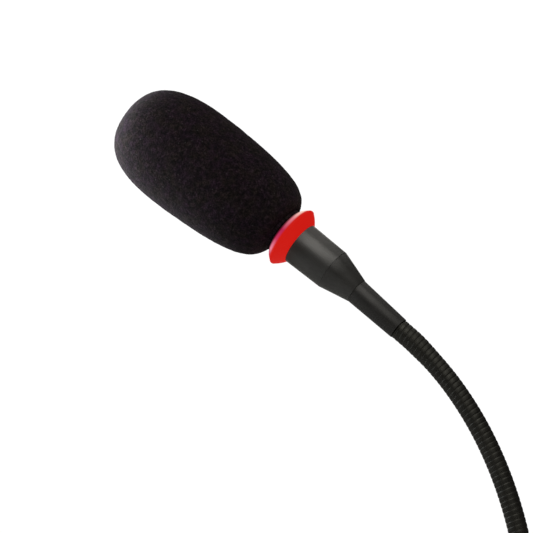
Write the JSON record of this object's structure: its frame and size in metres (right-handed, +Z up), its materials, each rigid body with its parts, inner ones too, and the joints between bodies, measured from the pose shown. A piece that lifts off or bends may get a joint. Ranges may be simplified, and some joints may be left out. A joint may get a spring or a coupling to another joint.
{
  "type": "gooseneck microphone",
  "caption": "Podium microphone on a bendable gooseneck: foam windscreen, red light ring, tapered housing, ribbed neck and a three-pin plug at its foot.",
  "frame": {"origin": "centre of the plug's shoulder, the ring that rests on the podium socket's face", "axes": "+Z up along the plug's axis; the neck and head lean towards -X in the XZ plane; Y is across the neck's plane"},
  "size_m": [0.1856, 0.0468, 0.4256],
  "materials": {
    "satin_black": "satin",
    "head_black": "satin",
    "black_steel": "satin",
    "nickel": "satin",
    "gold": "gloss",
    "black_plastic": "satin",
    "black_rubber": "matte",
    "green_board": "satin",
    "grey_can": "satin",
    "red_lens": "gloss",
    "red_lamp": "gloss",
    "fine_mesh": "satin",
    "felt": "matte",
    "foam": "matte"
  },
  "bodies": {
    "plug": {"plug_barrel": "nickel", "plug_housing": "satin_black", "pin_insert": "black_plastic", "contact_pin_1": "gold", "contact_pin_2": "gold", "contact_pin_3": "gold", "insert_screw": "black_steel", "neck_screw": "black_steel", "plug_board": "green_board", "board_chip": "black_plastic", "board_capacitor_1": "grey_can", "board_capacitor_2": "grey_can", "lower_sleeve": "satin_black", "signal_cable": "black_rubber", "neck_link_00": "black_steel"},
    "neck_01": {"neck_link_01": "black_steel"},
    "neck_02": {"neck_link_02": "black_steel"},
    "neck_03": {"neck_link_03": "black_steel"},
    "neck_04": {"neck_link_04": "black_steel"},
    "neck_05": {"neck_link_05": "black_steel"},
    "neck_06": {"neck_link_06": "black_steel"},
    "neck_07": {"neck_link_07": "black_steel"},
    "neck_08": {"neck_link_08": "black_steel"},
    "neck_09": {"neck_link_09": "black_steel"},
    "neck_10": {"neck_link_10": "black_steel"},
    "neck_11": {"neck_link_11": "black_steel"},
    "neck_12": {"neck_link_12": "black_steel"},
    "head": {"neck_link_13": "black_steel", "upper_sleeve": "head_black", "tail_cone": "head_black", "head_housing": "head_black", "light_ring": "red_lens", "led_board": "green_board", "led_1": "red_lamp", "led_2": "red_lamp", "led_3": "red_lamp", "led_4": "red_lamp", "led_5": "red_lamp", "led_6": "red_lamp", "grille_basket": "black_steel", "mesh_cup": "fine_mesh", "capsule": "grey_can", "capsule_mount": "black_rubber", "acoustic_felt": "felt", "capsule_lead_1": "black_rubber", "capsule_lead_2": "black_rubber", "preamp_board": "green_board", "preamp_transistor": "black_plastic"},
    "windscreen": {"windscreen": "foam"}
  },
  "joints": [
    {"name": "neck_bend_01", "type": "hinge", "parent": "plug", "child": "neck_01", "pos_m": [0, 0, 0.072], "axis": [0, -1, 0], "range_deg": [-20, 20], "deforming": ["signal_cable"]},
    {"name": "neck_bend_02", "type": "hinge", "parent": "neck_01", "child": "neck_02", "pos_m": [0, 0, 0.092], "axis": [1, 0, 0], "range_deg": [-20, 20], "deforming": ["signal_cable"]},
    {"name": "neck_bend_03", "type": "hinge", "parent": "neck_02", "child": "neck_03", "pos_m": [0, 0, 0.112], "axis": [0, -1, 0], "range_deg": [-20, 20], "deforming": ["signal_cable"]},
    {"name": "neck_bend_04", "type": "hinge", "parent": "neck_03", "child": "neck_04", "pos_m": [0, 0, 0.132], "axis": [1, 0, 0], "range_deg": [-20, 20], "deforming": ["signal_cable"]},
    {"name": "neck_bend_05", "type": "hinge", "parent": "neck_04", "child": "neck_05", "pos_m": [0, 0, 0.152], "axis": [0, -1, 0], "range_deg": [-20.2, 19.8], "deforming": ["signal_cable"]},
    {"name": "neck_bend_06", "type": "hinge", "parent": "neck_05", "child": "neck_06", "pos_m": [-0.00007, 0, 0.172], "axis": [0.9997, 0, 0.0239], "range_deg": [-20, 20], "deforming": ["signal_cable"]},
    {"name": "neck_bend_07", "type": "hinge", "parent": "neck_06", "child": "neck_07", "pos_m": [-0.00096, 0, 0.19198], "axis": [0, -1, 0], "range_deg": [-24.2, 15.8], "deforming": ["signal_cable"]},
    {"name": "neck_bend_08", "type": "hinge", "parent": "neck_07", "child": "neck_08", "pos_m": [-0.00332, 0, 0.21183], "axis": [0.9864, 0, 0.1645], "range_deg": [-20, 20], "deforming": ["signal_cable"]},
    {"name": "neck_bend_09", "type": "hinge", "parent": "neck_08", "child": "neck_09", "pos_m": [-0.00753, 0, 0.23137], "axis": [0, -1, 0], "range_deg": [-26.2, 13.8], "deforming": ["signal_cable"]},
    {"name": "neck_bend_10", "type": "hinge", "parent": "neck_09", "child": "neck_10", "pos_m": [-0.01382, 0, 0.25035], "axis": [0.9284, 0, 0.3716], "range_deg": [-20, 20], "deforming": ["signal_cable"]},
    {"name": "neck_bend_11", "type": "hinge", "parent": "neck_10", "child": "neck_11", "pos_m": [-0.02236, 0, 0.26842], "axis": [0, -1, 0], "range_deg": [-27.6, 12.4], "deforming": ["signal_cable"]},
    {"name": "neck_bend_12", "type": "hinge", "parent": "neck_11", "child": "neck_12", "pos_m": [-0.0332, 0, 0.2852], "axis": [0.7992, 0, 0.6011], "range_deg": [-20, 20], "deforming": ["signal_cable"]},
    {"name": "neck_bend_13", "type": "hinge", "parent": "neck_12", "child": "head", "pos_m": [-0.04632, 0, 0.30028], "axis": [0, -1, 0], "range_deg": [-26.5, 13.5], "deforming": ["signal_cable"]},
    {"name": "foam_pull_off", "type": "slide", "parent": "head", "child": "windscreen", "axis": [-0.7705, 0, 0.6374], "range_m": [0, 0.06]}
  ]
}
